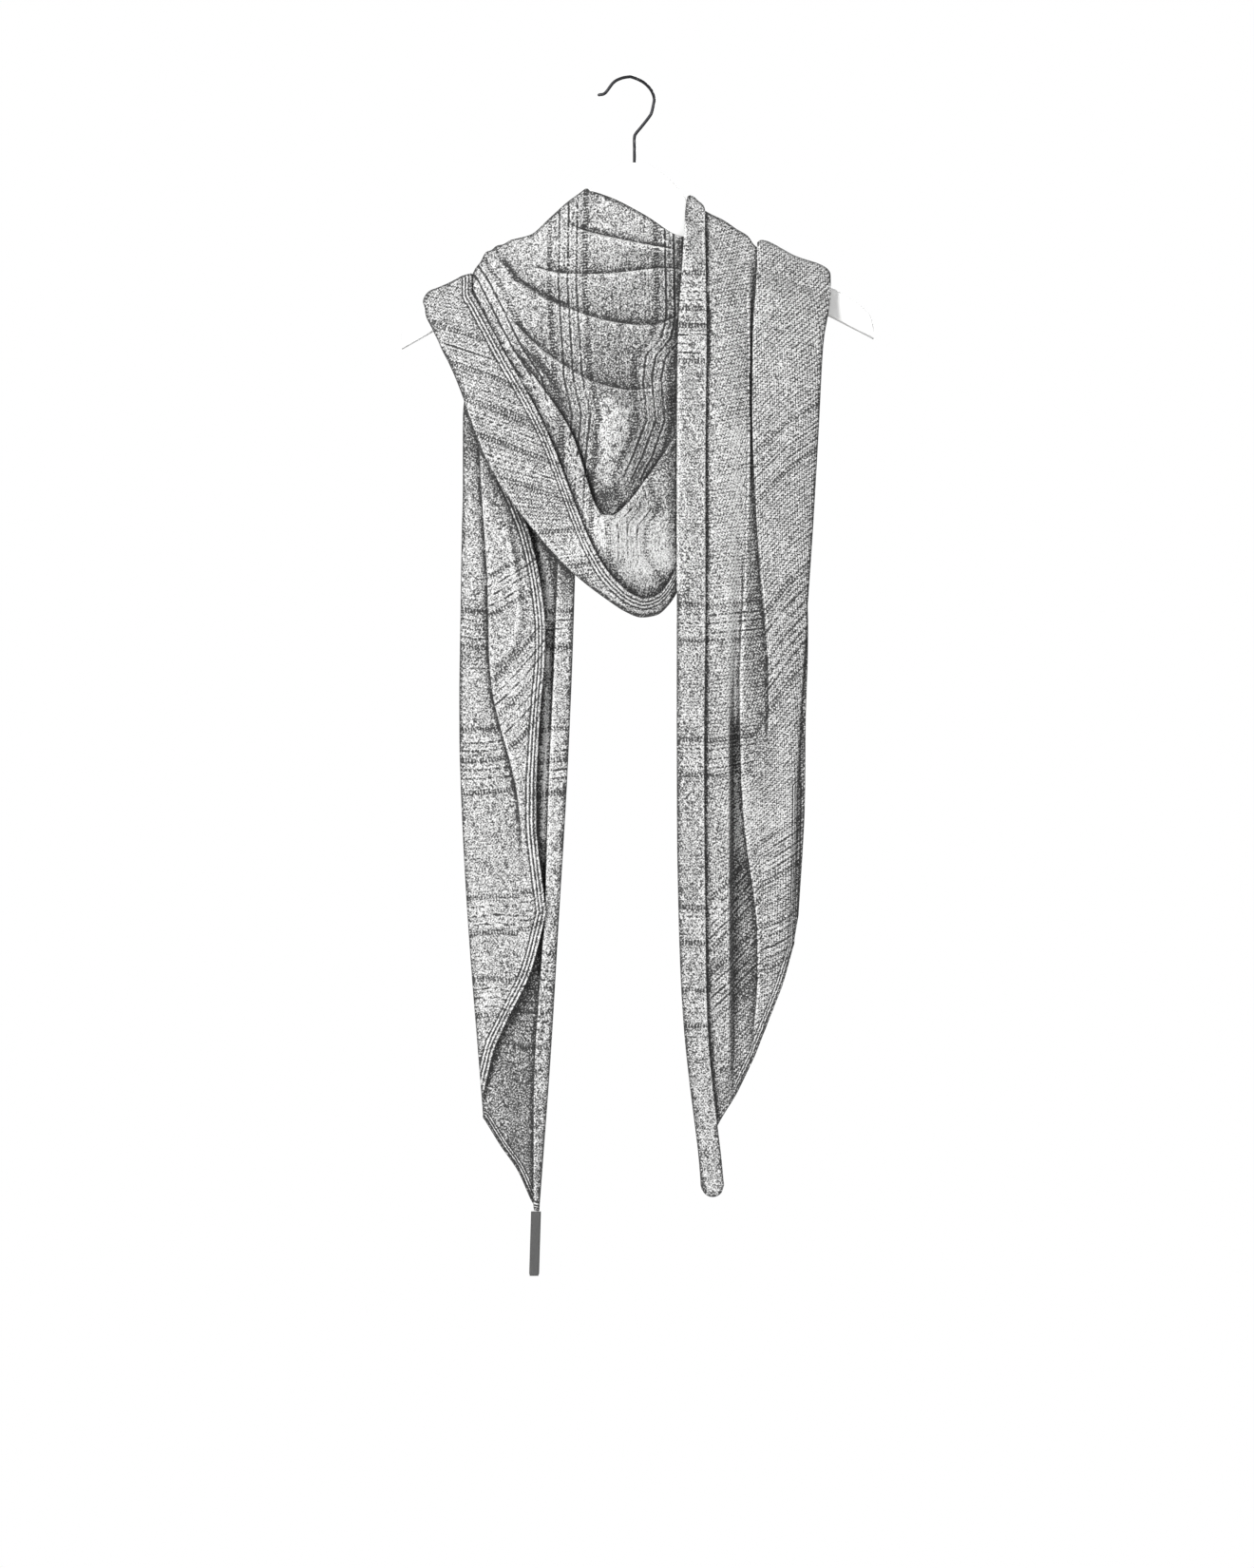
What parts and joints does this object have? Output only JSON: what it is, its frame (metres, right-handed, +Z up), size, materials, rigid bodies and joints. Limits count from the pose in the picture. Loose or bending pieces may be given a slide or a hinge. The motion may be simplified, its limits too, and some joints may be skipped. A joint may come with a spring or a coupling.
{
  "type": "scarf on hanger",
  "caption": "Fine-knit triangular shawl scarf with ribbed border, draped as a cowl with long hanging tails over a flat painted hanger with a wire hook.",
  "frame": {"origin": "inside top of the hook, where the hanger rests on its rail or wire", "axes": "+Z up along the pull of the hook, +X to the right seen from the front, front towards -Y"},
  "size_m": [0.4002, 0.0904, 1.0164],
  "materials": {
    "knit": "soft brushed knit",
    "tape": "woven tape",
    "paint": "white satin paint",
    "steel": "blackened"
  },
  "bodies": {
    "root": {"front_cowl": "knit", "right_tail": "knit", "left_tail_back": "knit", "left_tail_panel": "knit", "back_wrap_inner": "knit", "back_wrap_outer": "knit", "care_label": "tape", "hanger_body": "paint", "hanger_hook": "steel"}
  },
  "joints": []
}
